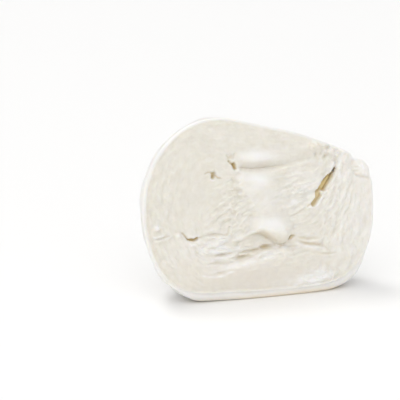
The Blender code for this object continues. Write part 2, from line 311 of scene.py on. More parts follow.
# --- the hollow under the tongue, its creases and the lips below it
lip = [(-16.3, -22.3), (-14.2, -22.1), (-12.2, -22.0), (-9.4, -21.7), (-7.7, -21.3), (-5.6, -20.7), (-4.0, -19.9), (-2.7, -19.3),
       (-1.0, -18.2), (0.8, -17.5), (3.1, -17.1), (6.1, -16.9), (8.9, -17.2), (12.1, -17.8), (15.0, -18.2)]
d, side, t = along(lip)
below = np.where(side < 0, d, -d)
shade = smooth((U + 17.0) / 9.0) * smooth((15.0 - U) / 6.0)
sunk = smooth((fold_v + 0.4 - V) / 1.4) * smooth((0.2 - below) / 0.6) * smooth((V + 24.0) / 1.0)
H -= 1.25 * shade * sunk * (below < 8.0)
H += (0.25 + 0.75 * taper(t, 0.3)) * taper(t, 0.08) * knots(below, (-0.6, 0.0), (0.0, 0.12), (0.55, 0.75), (1.0, 0.85), (2.2, 0.55), (6.0, 0.1), (9.0, 0.0))
lip_2 = [(-25.9, -24.9), (-23.6, -25.4), (-20.8, -25.8), (-18.4, -25.8), (-16.8, -25.6), (-15.4, -24.7), (-12.9, -24.1), (-10.2, -23.8)]
d, side, t = along(lip_2)
below = np.where(side < 0, d, -d)
H += 0.55 * taper(t, 0.2) * knots(below, (-0.5, -0.15), (-0.1, -0.1), (0.5, 0.6), (0.9, 0.65), (3.0, 0.0))


def crease(path, deep, wide, ends=0.2, lip=0.0, gap=0.9, shade_tint=0.0):
    """A narrow groove along a curve, with a raised lip on its lower side and painted shade along it."""
    global H, PAINTED_SHADE
    d, side, t = along(path)
    run = taper(t, ends)
    H = H - deep * run * np.exp(-(d / wide) ** 2)
    if lip:
        H = H + lip * run * np.exp(-((d - gap) / (0.7 * gap)) ** 2) * (side < 0)
    if shade_tint:
        PAINTED_SHADE = np.maximum(PAINTED_SHADE, shade_tint * run * np.exp(-(d / (0.9 * wide)) ** 2))


def torn_edge(path, wide, white, rise, ends=0.2, seed=40):
    """A thin edge of torn curd that stands up a little, painted white: partly white curd, partly painted highlight."""
    global H, WHITE_AND_GLINT
    d, side, t = along(path)
    line = taper(t, ends) * np.exp(-(d / wide) ** 2) * np.clip(1.0 + 0.3 * noise(0.7, seed), 0.3, 1.5)
    H = H + rise * line
    WHITE_AND_GLINT = np.maximum(WHITE_AND_GLINT, np.clip(white * line, 0.0, 1.0))


def shaded_dent(cu, cv, su, sv, turn, deep, shade_tint):
    """A soft dent with painted shade in it; with no depth it is painted shade alone."""
    global H, PAINTED_SHADE
    b = bump(cu, cv, su, sv, turn)
    H = H - deep * b
    PAINTED_SHADE = np.maximum(PAINTED_SHADE, shade_tint * b)


crease([(-5.6, -11.0), (-2.8, -10.4), (-0.7, -10.7), (1.3, -11.8), (2.9, -12.9), (4.4, -13.7), (6.0, -14.6)],
       0.9, 0.6, 0.42, shade_tint=0.5)
crease([(5.4, -14.9), (6.5, -15.5), (8.2, -15.5), (9.9, -14.5)], 0.7, 0.45, 0.3, shade_tint=0.3)
crease([(12.4, -13.2), (14.5, -13.5), (16.6, -13.9), (18.7, -14.2), (21.6, -14.1), (24.0, -13.8)], 0.6, 0.75, 0.45, lip=0.25, gap=1.2, shade_tint=0.34)
crease([(11.0, -13.9), (13.4, -14.6), (16.1, -15.7), (18.6, -16.3), (20.7, -16.6), (22.9, -16.9), (24.9, -17.5), (26.4, -18.6), (27.6, -20.2)],
       1.1, 0.75, 0.45, lip=0.5, gap=1.4, shade_tint=0.55)
crease([(9.4, -16.6), (12.3, -16.8), (14.8, -16.6)], 0.5, 0.35, 0.3, shade_tint=0.3)
crease([(22.6, -20.0), (23.6, -20.3), (26.4, -20.8), (28.2, -20.7), (30.4, -20.4)], 0.5, 0.35, 0.25, lip=0.25, gap=0.7, shade_tint=0.25)
crease([(-1.9, -16.9), (-0.6, -16.2), (1.1, -15.9), (2.8, -16.1), (4.4, -16.8)], 1.0, 0.7, 0.35, shade_tint=0.5)
crease([(-10.6, -17.8), (-8.4, -17.5), (-6.7, -17.3), (-4.3, -17.2), (-2.2, -17.0), (0.6, -16.8)], 1.1, 0.5, 0.25, lip=0.3, gap=0.9, shade_tint=0.5)
crease([(-12.8, -19.9), (-10.4, -19.7), (-8.0, -19.3), (-5.5, -18.7), (-3.1, -18.1)], 1.2, 0.85, 0.3, shade_tint=0.5)
crease([(-24.5, -17.9), (-22.9, -17.8), (-19.7, -17.7), (-16.9, -17.7), (-13.6, -17.5), (-9.6, -17.5)], 0.75, 0.5, 0.3, lip=0.2, shade_tint=0.3)
crease([(-23.6, -20.6), (-22.3, -20.7), (-19.4, -20.8), (-17.0, -21.0), (-14.4, -21.2)], 0.55, 0.4, 0.3, lip=0.2, gap=0.7, shade_tint=0.2)
crease([(-20.2, -24.3), (-18.4, -24.6), (-16.6, -24.4), (-15.6, -24.0)], 0.45, 0.4, 0.3, shade_tint=0.2)
crease([(-25.6, -10.7), (-24.2, -10.2), (-22.5, -9.8), (-20.1, -9.6), (-17.7, -9.8), (-14.8, -10.0), (-14.1, -8.4), (-13.3, -6.9), (-12.0, -5.6)],
       0.6, 0.42, 0.2, lip=0.35, gap=0.9, shade_tint=0.25)
crease([(18.6, -1.6), (17.6, -2.2), (15.7, -3.2), (14.0, -4.1), (12.3, -4.7), (10.0, -5.3)], 0.55, 0.4, 0.35, lip=0.25, gap=0.7, shade_tint=0.3)
crease([(-5.9, -3.6), (-4.9, -3.4), (-3.8, -3.6)], 0.5, 0.4, 0.4, shade_tint=0.2)
crease([(-44.6, -10.2), (-42.6, -9.9), (-41.0, -9.7), (-38.7, -9.2), (-36.3, -8.4)], 0.35, 0.4, 0.3, lip=0.8, gap=0.7)
crease([(38.9, 16.2), (38.2, 14.3), (38.1, 12.2), (38.7, 10.4), (40.6, 9.1), (43.6, 8.2), (47.2, 7.2)], 0.75, 0.55, 0.12, shade_tint=0.12)
crease([(37.8, 12.6), (39.2, 12.7), (40.9, 12.5)], 0.55, 0.35, 0.3, shade_tint=0.3)
crease([(38.2, 10.9), (39.6, 11.1), (41.0, 11.0)], 0.55, 0.35, 0.3, shade_tint=0.3)
H += 1.5 * bump(-42.0, -5.5, 1.15, 0.9) - 0.6 * bump(-41.4, -7.1, 1.3, 0.7)
H += 0.7 * bump(22.6, -31.3, 3.6, 0.6, 4.0) + 0.5 * bump(25.0, -30.2, 5.0, 0.8, 8.0) + 0.4 * bump(17.0, -29.5, 3.5, 1.6, 20.0)

# --- the knob, gathered into rings round its eye
eye = np.hypot(U - 39.6, V - 11.6)
on_knob = smooth((eye - 0.8) / 1.2) * smooth((8.6 - eye) / 2.4) * smooth((U - 37.8) / 1.6) * smooth((V - 7.6) / 1.6)
H += 0.9 * bump(43.0, 12.2, 4.6, 4.4)
H += 0.16 * on_knob * np.cos(eye * 2.0 * math.pi / 1.75 + 0.5) + 0.10 * on_knob * np.cos(11.0 * np.arctan2(V - 11.6, U - 39.6))
# painted highlight on the knob
WET_AND_HIGHLIGHT = np.maximum(WET_AND_HIGHLIGHT, 0.9 * bump(43.0, 12.4, 4.4, 4.4))


# --- stretched-curd fibres
def blend_directions(parts):
    x = np.zeros(U.shape)
    y = np.zeros(U.shape)
    for weight, degrees in parts:
        x += weight * np.cos(np.radians(2 * degrees))
        y += weight * np.sin(np.radians(2 * degrees))
    return np.degrees(np.arctan2(y, x)) / 2


around = ANGLE + 90.0
flow = blend_directions((
    (1.4 * smooth((-U - 20.0) / 12.0), around),
    (1.3 * bump(-13.0, -2.5, 9.0, 9.0), 33.0 + 0 * U),
    (1.4 * smooth((U - 21.0) / 8.0), 78.0 + 0 * U),
    (1.2 * bump(26.0, 4.0, 5.0, 9.0, -30.0), 55.0 + 0 * U),
    (1.0 * smooth((-V - 13.0) / 6.0) * smooth((26.0 - np.abs(U)) / 10.0), 4.0 + 0 * U),
    (0.8 * smooth((V - 18.0) / 6.0), -9.0 + 0 * U),
    (0.5 * bump(14.0, 4.0, 8.0, 7.0), 15.0 + 0 * U),
    (0.2 + 0 * U, 8.0 + 0 * U),
))
flow = flow + 10.0 * noise(5.0, 3)
torn = 0.42 + 0.65 * smooth((-U - 30.0) / 8.0) + 1.25 * bump(-13.0, -1.5, 9.0, 8.5) + 0.9 * bump(15.0, 4.0, 8.0, 8.0)
torn = torn + 0.8 * smooth((U - 22.0) / 6.0) + 0.9 * bump(-21.0, -14.0, 12.0, 4.0) + 0.7 * bump(0.0, -18.5, 22.0, 3.5) + 0.8 * bump(24.0, -28.5, 9.0, 3.6)
torn = torn * (1.0 - 0.8 * np.clip(WET_AND_HIGHLIGHT, 0, 1)) * (1.0 - 0.65 * bump(-25.0, 4.0, 8.0, 8.0)) * (1.0 - 0.75 * bump(-2.0, -27.5, 18.0, 4.5))
torn = torn * (1.0 - 0.85 * bump(30.0, -24.0, 6.0, 7.0)) * (1.0 - 0.4 * smooth((-U - 27.0) / 8.0))
torn = torn * (1.0 - 0.75 * bump(1.0, 3.0, 6.0, 6.0)) * (0.55 + 0.45 * smooth((41.0 - U) / 5.0))
H += 0.15 * torn * fibres(flow, 0.30, 5.0, 11)
H += 0.13 * torn * fibres(flow, 0.55, 2.4, 12)
H += 0.06 * torn * noise(0.30, 13) + 0.14 * torn * noise(1.1, 19)
H += 0.20 * noise(4.5, 14) + 0.07 * noise(2.0, 15)
RUNS = (0.0, 36.0, 72.0, 108.0, 144.0)  # the fine grain is laid in these directions
GRAIN = [np.clip(torn, 0.0, 2.2) * np.maximum(np.cos(np.radians(flow - run)) ** 2 - 0.5, 0.0) * 2.0 for run in RUNS]
rough = 1.3 * bump(27.0, 20.0, 7.0, 3.6, -22.0) + 0.8 * bump(31.0, 13.0, 4.0, 6.0) + 0.8 * bump(-25.0, -14.6, 5.5, 2.2) + 0.5 * bump(-11.5, 8.0, 2.2, 7.0)
H += 0.24 * rough * noise(0.65, 16)
GRIT = 0.25 + 1.2 * rough + 1.0 * bump(-20.5, -13.6, 10.0, 3.4, -6.0) + 0.8 * bump(24.0, -28.5, 9.0, 3.6) + 0.7 * bump(-11.0, 4.0, 2.6, 9.0)
GRIT = (GRIT + 0.5 * bump(14.0, 4.0, 8.0, 7.0)) * (1.0 - 0.7 * np.clip(WET_AND_HIGHLIGHT, 0, 1))
# whiter curd that is still rough, partly painted light where it faces up: along the rope, the lip, the low right and
# the pinched side
PALE_AND_LIT = 1.0 * bump(-19.0, -15.0, 12.0, 4.6, -4.0) + 0.8 * bump(-4.0, -20.7, 13.0, 1.3, 10.0) + 1.1 * bump(22.0, -29.6, 9.5, 3.0, 5.0)
PALE_AND_LIT = PALE_AND_LIT + 0.45 * smooth((U - 24.0) / 8.0) * smooth((V + 30.0) / 12.0) + 0.55 * bump(16.0, 5.0, 9.0, 8.0) + 0.5 * bump(31.0, 20.0, 7.0, 2.4, -30.0)
PALE_AND_LIT = PALE_AND_LIT + 0.4 * bump(0.5, 2.0, 6.5, 6.0)
PALE_AND_LIT = PALE_AND_LIT * np.clip(0.85 + 0.30 * fibres(flow, 0.45, 3.0, 33), 0.15, 1.3)
PALE_AND_LIT = np.clip(PALE_AND_LIT * (1.0 + 0.45 * noise(0.9, 31) * smooth((GRIT - 0.2) / 0.5)), 0.0, 0.95)
H -= 1.1 * bump(28.8, 20.8, 1.9, 0.9, -15.0) + 0.9 * bump(23.4, 18.0, 1.0, 1.4) + 0.6 * bump(25.8, 19.6, 0.7, 1.3, 30.0) + 0.6 * bump(27.2, 17.6, 1.4, 0.6, 20.0)
H += 0.7 * bump(23.0, 22.6, 1.2, 2.2, 20.0) + 0.5 * bump(26.6, 21.6, 0.7, 1.6, -20.0) + 0.5 * bump(30.6, 18.2, 2.4, 0.8, -35.0)

# --- slits and holes
ragged = 0.10 * noise(0.6, 17) + 0.05 * noise(0.3, 18)


def cavity(points, deep, wall, ridge=0.0, shade_tint=1.0, grow=0.0):
    """A torn opening, painted with shade inside; `ridge` lifts its floor in the middle again."""
    global H, PAINTED_SHADE
    d = inside(points) + ragged + grow
    H = H - deep * smooth((d + 0.10) / wall) + ridge * smooth((d - 0.45) / 0.6)
    PAINTED_SHADE = np.maximum(PAINTED_SHADE, shade_tint * smooth((d + 0.15) / 0.45))


cavity([(30.9, 12.8), (30.5, 12.2), (29.2, 11.1), (27.5, 10.1), (25.7, 8.4), (24.4, 6.7), (23.5, 5.6), (22.9, 4.7), (23.9, 4.3), (24.7, 4.4),
        (25.6, 4.3), (26.2, 4.6), (26.9, 5.8), (28.2, 7.3), (29.1, 8.8), (30.0, 10.5), (30.9, 12.2)], 2.5, 0.45, 0.9, 1.0, 0.2)
cavity([(22.6, 4.6), (22.0, 3.0), (22.0, 1.6), (21.3, 0.7), (20.5, -0.5), (20.8, -1.5), (21.4, -1.7), (22.5, -0.2), (23.4, 0.9), (24.3, 2.2),
        (24.1, 3.6), (23.5, 4.5)], 2.0, 0.5, 0.8, 0.9, 0.15)
H += 0.75 * bump(26.0, 3.6, 1.5, 0.5, 25.0) + 0.5 * bump(24.2, 0.2, 2.2, 0.5, 58.0) + 0.3 * bump(30.0, 8.2, 3.0, 0.6, 60.0)
crease([(30.6, 12.2), (31.5, 14.0), (32.4, 15.6)], 0.6, 0.3, 0.3, shade_tint=0.35)
crease([(23.0, 5.0), (22.0, 4.4), (21.2, 3.6)], 0.4, 0.35, 0.3, shade_tint=0.25)
crease([(20.9, -0.9), (19.5, -1.0), (18.2, -1.9)], 0.6, 0.34, 0.25, shade_tint=0.5)
# a small pit with a thin arm up to the left, and torn curd above it
cavity([(-11.4, 17.0), (-10.7, 17.2), (-10.2, 16.1), (-9.8, 15.0), (-10.3, 14.4), (-10.9, 14.7), (-11.2, 15.6)], 2.2, 0.4, 0.0, 1.0, 0.08)
crease([(-13.2, 18.5), (-12.4, 17.6), (-11.7, 16.9), (-10.9, 16.1)], 1.2, 0.38, 0.15, shade_tint=0.8)
shaded_dent(-12.0, 19.5, 1.3, 1.0, 0.0, 0.6, 0.5)
crease([(-14.0, 20.7), (-13.2, 19.6), (-12.4, 18.7)], 0.5, 0.3, 0.25, shade_tint=0.35)
crease([(-10.6, 21.3), (-10.7, 19.8), (-11.1, 18.3)], 0.6, 0.3, 0.25, shade_tint=0.4)
torn_edge([(-10.3, 13.9), (-9.4, 14.2), (-8.8, 14.9)], 0.34, 0.9, 0.35, 0.3)
# the small star-shaped hole: a pit with four thin arms
cavity([(-20.0, 14.0), (-19.2, 14.1), (-18.4, 14.0), (-18.4, 13.0), (-18.6, 12.1), (-19.3, 11.7), (-19.8, 12.2), (-19.9, 13.1)], 1.6, 0.45, 0.0, 0.8, 0.08)
shaded_dent(-19.3, 12.3, 0.65, 0.65, 0.0, 0.9, 1.0)
crease([(-22.9, 13.4), (-21.5, 14.1), (-20.7, 14.2), (-19.6, 13.8)], 0.7, 0.33, 0.25, shade_tint=0.6)
crease([(-18.5, 15.3), (-18.8, 14.6), (-19.1, 13.8)], 0.5, 0.3, 0.3, shade_tint=0.3)
crease([(-19.0, 13.5), (-17.8, 12.4), (-17.2, 11.9), (-16.0, 11.7)], 0.9, 0.34, 0.2, shade_tint=0.8)
torn_edge([(-20.4, 11.7), (-19.4, 11.1), (-18.5, 11.4)], 0.34, 1.0, 0.4, 0.25)
# the low left hole, a slim arc with a white inner lip
cavity([(-30.7, -10.2), (-29.7, -10.6), (-28.9, -10.6), (-27.7, -10.6), (-27.0, -10.3), (-26.7, -9.9), (-26.1, -10.1), (-25.9, -10.6), (-26.6, -11.1),
        (-27.4, -11.4), (-28.2, -11.6), (-29.3, -11.4), (-30.3, -11.1)], 2.0, 0.4)
crease([(-32.7, -7.8), (-31.8, -8.6), (-31.0, -9.6), (-30.3, -10.5)], 1.0, 0.3, 0.14, shade_tint=0.85)
crease([(-35.0, -7.6), (-33.6, -7.6), (-32.4, -7.9)], 0.3, 0.35, 0.3, shade_tint=0.15)
crease([(-26.4, -10.5), (-25.2, -10.3), (-24.0, -10.4)], 0.5, 0.34, 0.3, shade_tint=0.4)
torn_edge([(-30.3, -9.2), (-29.3, -9.6), (-28.1, -9.6), (-27.2, -9.2)], 0.40, 1.0, 0.5, 0.2)
H += 0.45 * bump(-34.0, -8.9, 1.2, 0.9)
# painted highlight on the tops of the pimple and of the bump by the hole
WHITE_AND_GLINT = np.maximum(WHITE_AND_GLINT, np.maximum(0.5 * bump(-34.0, -8.9, 1.2, 0.9), 0.9 * bump(-42.0, -5.5, 1.2, 0.9)))
torn_edge([(-44.2, -9.2), (-41.6, -9.0), (-38.6, -8.3)], 0.45, 0.9, 0.35, 0.25)
torn_edge([(-31.2, -12.2), (-29.4, -12.9), (-27.2, -12.8), (-25.2, -12.0)], 0.6, 0.6, 0.35, 0.3)
# painted shade in the crevice's deepest places, and the white edge of the lip under it, partly painted highlight
shaded_dent(1.0, -16.2, 2.0, 0.75, 8.0, 0.9, 0.85)
shaded_dent(-3.4, -17.2, 1.9, 0.5, 12.0, 0.6, 0.6)
shaded_dent(-8.8, -18.9, 2.6, 0.75, 14.0, 0.4, 0.5)
# painted shade only: a soft shadow under the tongue, over the left hollow and under the lower swell
shaded_dent(-6.0, -18.0, 5.8, 2.0, 12.0, 0.0, 0.26)
shaded_dent(-22.0, 3.0, 7.5, 9.0, 0.0, 0.0, 0.05)
shaded_dent(6.4, -13.2, 4.2, 1.7, -18.0, 0.0, 0.30)
# painted shade along the fold under the lower swell
PAINTED_SHADE = np.maximum(PAINTED_SHADE, 0.4 * np.exp(-((V - fold_v - 0.7) / 1.2) ** 2) * smooth((U + 3.0) / 3.5) * smooth((9.5 - U) / 4.0))
torn_edge([(-15.2, -22.2), (-12.5, -21.8), (-8.6, -21.3), (-6.0, -20.5), (-3.5, -19.5), (-0.5, -17.9), (3.1, -16.9), (6.6, -16.7), (11.6, -17.1)], 0.42, 1.0, 0.8, 0.15, 41)
torn_edge([(-25.8, -24.6), (-23.4, -25.5), (-19.6, -25.9), (-16.6, -25.6), (-15.1, -24.7), (-11.6, -24.1)], 0.40, 1.0, 0.5, 0.15, 42)
torn_edge([(4.8, -15.5), (6.0, -16.0), (7.4, -16.4)], 0.3, 0.8, 0.3, 0.3, 43)
torn_edge([(11.9, -14.3), (15.0, -15.9), (18.6, -17.1), (22.0, -17.7), (25.0, -18.3)], 0.45, 0.7, 0.25, 0.3, 44)
# white dashes low on the right, partly painted highlight on ridges that catch the light
torn_edge([(11.1, -32.7), (13.5, -31.9), (16.2, -31.5)], 0.5, 0.9, 0.35, 0.3, 45)
torn_edge([(18.6, -30.9), (21.0, -30.3), (24.5, -30.2), (28.5, -30.5)], 0.55, 1.0, 0.45, 0.2, 46)
torn_edge([(19.6, -28.6), (23.0, -28.0), (27.0, -28.2)], 0.5, 0.8, 0.3, 0.3, 47)
torn_edge([(15.5, -29.8), (18.4, -29.0), (21.5, -29.2)], 0.5, 0.7, 0.25, 0.3, 48)
# white edges along the slit, partly painted highlight on its lips
torn_edge([(25.2, 2.4), (24.3, 0.9), (23.1, -0.6), (21.7, -2.1)], 0.48, 1.0, 0.45, 0.2, 49)
torn_edge([(25.1, 3.5), (26.2, 3.6), (27.5, 4.4)], 0.42, 1.0, 0.5, 0.2, 50)
torn_edge([(28.2, 5.8), (29.4, 7.8), (30.5, 9.6), (31.5, 11.6), (32.4, 13.4)], 0.45, 0.9, 0.35, 0.3, 51)
torn_edge([(17.9, -2.5), (19.6, -2.0), (21.0, -2.6)], 0.42, 1.0, 0.4, 0.25, 52)
cavity([(9.7, -12.4), (10.8, -11.6), (12.5, -11.9), (13.4, -12.7), (12.3, -13.5), (11.5, -14.2), (10.3, -14.4), (9.6, -13.4)], 1.6, 0.9, 0.0, 0.6)

# painted shade: the relief's hollows are painted darker and yellower, its ridges lighter
dip = blur(H, 0.9) - H
PAINTED_SHADE = np.maximum(PAINTED_SHADE, 0.45 * smooth((dip - 0.22) / 0.7))
RELIEF_SHADE = np.clip((H - blur(H, 0.8)) / 0.16, -1.6, 1.6)
LOW_SHADE = np.clip(0.8 * bump(-3.0, -27.5, 24.0, 7.0) + 0.4 * bump(-28.0, -20.0, 10.0, 8.0), 0.0, 1.0)     # painted shade: darker and faintly rosier low down

H = blur(H, 0.12)
H = H * smooth(EDGE / 1.8)              # the relief dies away at the rim
# the firmer skin stands a little proud of the cut curd round the edge
proud = 0.15 + 0.75 * smooth((-V - 18.0) / 8.0) + 0.2 * smooth((-U - 25.0) / 12.0)
proud = proud * (1.0 + 0.15 * noise(1.6, 32))
H += proud * smooth(EDGE / 0.6) * (1.0 - smooth((EDGE - 0.6) / 0.9))


# --------------------------------------------------------------- the fine mesh
def grid_square(n):
    a = np.linspace(-1.0, 1.0, n + 1)
    return np.meshgrid(a, a)


def edge_indices(n):
    """Round the square's edge, anticlockwise, as flat indices of the grid."""
    w = n + 1
    return np.array([i for i in range(n)] + [j * w + n for j in range(n)]
                    + [n * w + i for i in range(n, 0, -1)] + [j * w for j in range(n, 0, -1)])


def grid_faces(n, start, flip):
    i, j = np.meshgrid(np.arange(n), np.arange(n))
    w = n + 1
    a = start + (j * w + i).ravel()
    quads = np.stack([a, a + 1, a + 1 + w, a + w], 1)
    return quads[:, ::-1] if flip else quads


def on_rim(angle, step):
    """A point of the rim: step 0 on the cut edge, 1 where the skin begins."""
    out, back = rim_size(angle)
    crisp = 2.0 / (2.0 - BASE_CRISP * underside(angle))
    t = step * math.pi / 2
    w = back * (1.0 - np.cos(t) ** crisp)
    r = face_radius(angle, w) + out * np.sin(t) ** crisp
    return r, w


def skin_map():
    """Relief of the skin over the flattened dome: creases, folds, threads, pimples and dimples."""
    def line(path, high, wide, ends=0.25):
        d, side, t = along(path)
        return high * taper(t, ends) * np.exp(-(d / wide) ** 2)

    m = 0.75 * noise(7.0, 61) + 0.42 * noise(3.2, 62) + 0.22 * fibres(ANGLE + 90.0 + 12.0 * noise(6.0, 63), 0.8, 8.0, 64)
    star = (-15.0, 9.0)
    for tip in ((-23.0, 13.5), (-8.5, 15.5), (-13.0, 0.5)):
        bend = ((star[0] + tip[0]) / 2 + 0.8, (star[1] + tip[1]) / 2 - 0.6)
        m += line([star, bend, tip], -1.3, 1.2, 0.35)
    m += 0.35 * bump(-15.0, 9.0, 4.5, 4.5) - 0.5 * bump(-15.0, 9.0, 1.6, 1.6)
    m += line([(7.0, 17.0), (12.5, 11.5), (19.0, 15.5)], -1.2, 1.2) + line([(12.5, 11.5), (13.0, 8.5), (13.5, 5.0)], -0.9, 1.1, 0.4)
    m += line([(-34.0, -3.0), (-28.0, -7.5), (-21.0, -6.0)], -1.1, 1.2) + line([(-30.0, 16.0), (-26.0, 20.0), (-20.0, 21.5)], -0.9, 1.1)
    m += line([(-6.0, -9.0), (1.0, -11.5), (9.0, -10.0)], -1.0, 1.2) + line([(26.0, 20.0), (31.0, 15.0), (33.0, 9.0)], -0.9, 1.2)
    for k in range(6):                       # a bundle of short folds, like a gathered cloth
        a = (20.0 + 1.9 * k, -3.0 - 1.0 * k + 0.7 * (k % 2))
        m += line([a, (a[0] + 1.6, a[1] - 4.0), (a[0] + 4.6, a[1] - 7.5 + 0.8 * (k % 3))], 0.75 - 0.06 * k, 0.8, 0.35)
    for k in range(5):                       # pleats that run into the knob
        a = math.radians(150.0 + 17.0 * k)
        m += line([(46.0 + 5.0 * math.cos(a), 12.0 + 5.0 * math.sin(a)), (46.0 + 11.0 * math.cos(a + 0.12), 12.0 + 11.0 * math.sin(a + 0.12)),
                   (46.0 + 19.0 * math.cos(a), 12.0 + 19.0 * math.sin(a))], -1.0, 1.3, 0.3)
    for k in range(9):                       # thin raised threads
        r = np.random.default_rng(70 + k)
        u, v = r.uniform(-34, 32), r.uniform(-14, 24)
        path = [(u, v)]
        heading = r.uniform(-0.5, 0.5)
        for _ in range(6):
            heading += r.uniform(-0.7, 0.7)
            path.append((path[-1][0] + 3.2 * math.cos(heading), path[-1][1] + 3.2 * math.sin(heading)))
        m += line(path, 0.45, 0.75)
    r = np.random.default_rng(90)
    for _ in range(16):                      # pimples
        m += r.uniform(0.45, 0.8) * bump(r.uniform(-40, 36), r.uniform(-20, 26), 0.95, 0.95)
    for _ in range(9):                       # dimples
        m -= r.uniform(0.5, 1.0) * bump(r.uniform(-36, 34), r.uniform(-18, 24), r.uniform(2.0, 4.0), r.uniform(1.6, 3.0), r.uniform(0, 90))
    return m


SKIN = skin_map()


def skin_height(share, angle, u, v, w):
    h = sample(SKIN, 50.0 * share * np.cos(np.radians(angle)), 37.0 * share * np.sin(np.radians(angle)))
    for cu, cv, cw, spread, high in ((-30.0, 16.0, 22.0, 15.0, 0.8), (-4.0, 8.0, 36.0, 12.0, -0.7),
                                     (18.0, -6.0, 31.0, 13.0, 0.7), (26.0, 22.0, 14.0, 9.0, -0.8),
                                     (-14.0, 29.0, 16.0, 11.0, 0.5), (-36.0, -12.0, 20.0, 10.0, -0.6)):
        h += high * np.exp(-((u - cu) ** 2 + (v - cv) ** 2 + (w - cw) ** 2) / spread ** 2)
    return h * smooth((w - 1.5) / 6.0)


def on_dome(share, angle):
    out, back = rim_size(angle)
    t = share * math.pi / 2
    s, c = np.sin(t), np.maximum(np.cos(t), 0.0)
    sag = np.maximum(0.15 - np.sin(np.radians(angle)), 0.0) / 1.15
    power = DOME_POWER + (SAG_POWER - DOME_POWER) * sag ** 1.5
    size = (s ** power + c ** power) ** (-1.0 / power)
    w = back + (HALF_DEPTH - back) * c * size
    r = (face_radius(angle, w) + out) * s * size
    u, v = r * np.cos(np.radians(angle)), r * np.sin(np.radians(angle))
    h = skin_height(share, angle, u, v, w) / np.sqrt(u * u + v * v + w * w)
    return np.stack([u * (1 + h), v * (1 + h), w * (1 + h)], 1)


def polar(r, angle, w):
    a = np.radians(angle)
    return np.stack([r * np.cos(a), r * np.sin(a), w], 1)


MASKS = ["skin", "painted_shade", "pale_wet_and_highlight", "relief_shade", "grit", "low_shade"] + ["run%d" % i for i in range(len(RUNS))]     # and "foot", from the height
BARE = [1.0] + [0.0] * (len(MASKS) - 1)         # the skin has none of the others,
RIM = [1.0, 0.0, 0.9] + BARE[3:]                # but the cut rim is painted whiter, partly painted highlight along the edge


def build_mesh():
    points, masks = [], []
    # face
    x, y = grid_square(FACE_STEPS)
    share, angle = square_to_disc(x.ravel(), y.ravel())
    r = face_radius(angle) * share
    u, v = r * np.cos(np.radians(angle)), r * np.sin(np.radians(angle))
    points.append(np.stack([u, v, -sample(H, u, v)], 1))
    edge_in = (1 - share) * face_radius(angle)
    masks.append(np.stack([1.0 - smooth((edge_in - 0.3) / 0.7)] + [sample(a, u, v) for a in (PAINTED_SHADE, np.maximum(np.maximum(WET_AND_HIGHLIGHT, PALE_AND_LIT), WHITE_AND_GLINT), RELIEF_SHADE, GRIT, LOW_SHADE, *GRAIN)], 1))
    faces = [grid_faces(FACE_STEPS, 0, False)]
    start = len(points[0])
    # rim rings, at the face's spacing
    edge = edge_indices(FACE_STEPS)
    edge_angle = angle[edge]
    rings = [edge]
    for k in range(1, RIM_STEPS):
        r, w = on_rim(edge_angle, k / RIM_STEPS)
        points.append(polar(r, edge_angle, w))
        masks.append(np.tile(RIM, (len(edge), 1)))
        rings.append(np.arange(start, start + len(edge)))
        start += len(edge)
    # dome
    x, y = grid_square(DOME_STEPS)
    dshare, dangle = square_to_disc(x.ravel(), y.ravel())
    points.append(on_dome(dshare, dangle))
    masks.append(np.tile(BARE, (len(dshare), 1)))
    dome_start = start
    faces.append(grid_faces(DOME_STEPS, dome_start, True))
    dome_edge = dome_start + edge_indices(DOME_STEPS)
    for near, far in zip(rings, rings[1:]):
        n2, f2 = np.roll(near, -1), np.roll(far, -1)
        faces.append(np.stack([n2, near, far, f2], 1))
    # from the last fine ring to the dome's edge, two segments to one
    near, far = rings[-1], dome_edge
    tris = []
    m = len(far)
    for k in range(m):
        a, b, c = near[2 * k], near[(2 * k + 1) % (2 * m)], near[(2 * k + 2) % (2 * m)]
        p, q = far[k], far[(k + 1) % m]
        tris += [(b, a, p), (b, p, q), (c, b, q)]
    return np.vstack(points), np.vstack(masks), faces, tris


points, masks, quads, tris = build_mesh()
mesh = bpy.data.meshes.new("mozzarella_curd")
polys = [tuple(q) for part in quads for q in part.tolist()] + [tuple(int(i) for i in t) for t in tris]
mesh.from_pydata(stand_up(points).tolist(), [], polys)
# the lowest few millimetres in front are painted warm tan: a painted glow of light coming through the thin curd by the
# floor
standing = stand_up(points) / MM - np.array(SHIFT)
foot = np.exp(-(np.maximum(standing[:, 2], 0.0) / 1.6) ** 2) * (1.0 - 0.6 * smooth((points[:, 2] - 5.0) / 12.0)) * (0.6 + 0.4 * smooth((points[:, 0] + 20.0) / 30.0))
for name, values in zip(MASKS + ["foot"], np.column_stack([masks, foot]).T):
    mesh.attributes.new(name, "FLOAT", "POINT").data.foreach_set("value", values.astype(np.float32))

# one map for baking: the cut face in the upper half, the skin in the lower
loop_vertex = np.zeros(len(mesh.loops), np.int32)
mesh.loops.foreach_get("vertex_index", loop_vertex)
poly_of_loop = np.repeat(np.arange(len(mesh.polygons)), [len(p) for p in polys])
on_face = poly_of_loop < len(quads[0])
p = points[loop_vertex]
ang = np.arctan2(p[:, 1] / 36.0, p[:, 0] / 48.0)
back_share = np.arccos(np.clip(p[:, 2] / HALF_DEPTH, -0.05, 1.0)) / (math.pi / 2)
back_share = np.maximum(back_share, 0)
lay = np.where(on_face[:, None],
               np.stack([0.01 + 0.98 * (p[:, 0] + 50.0) / 100.0, 0.51 + 0.48 * (p[:, 1] + 38.0) / 76.0], 1),
               np.stack([0.5 + 0.47 * back_share * np.cos(ang), 0.25 + 0.235 * back_share * np.sin(ang)], 1))
mesh.uv_layers.new(name="OFBake").data.foreach_set("uv", lay.astype(np.float32).ravel())
mesh.validate()
mesh.shade_smooth()
cheese = bpy.data.objects.new("mozzarella_curd", mesh)
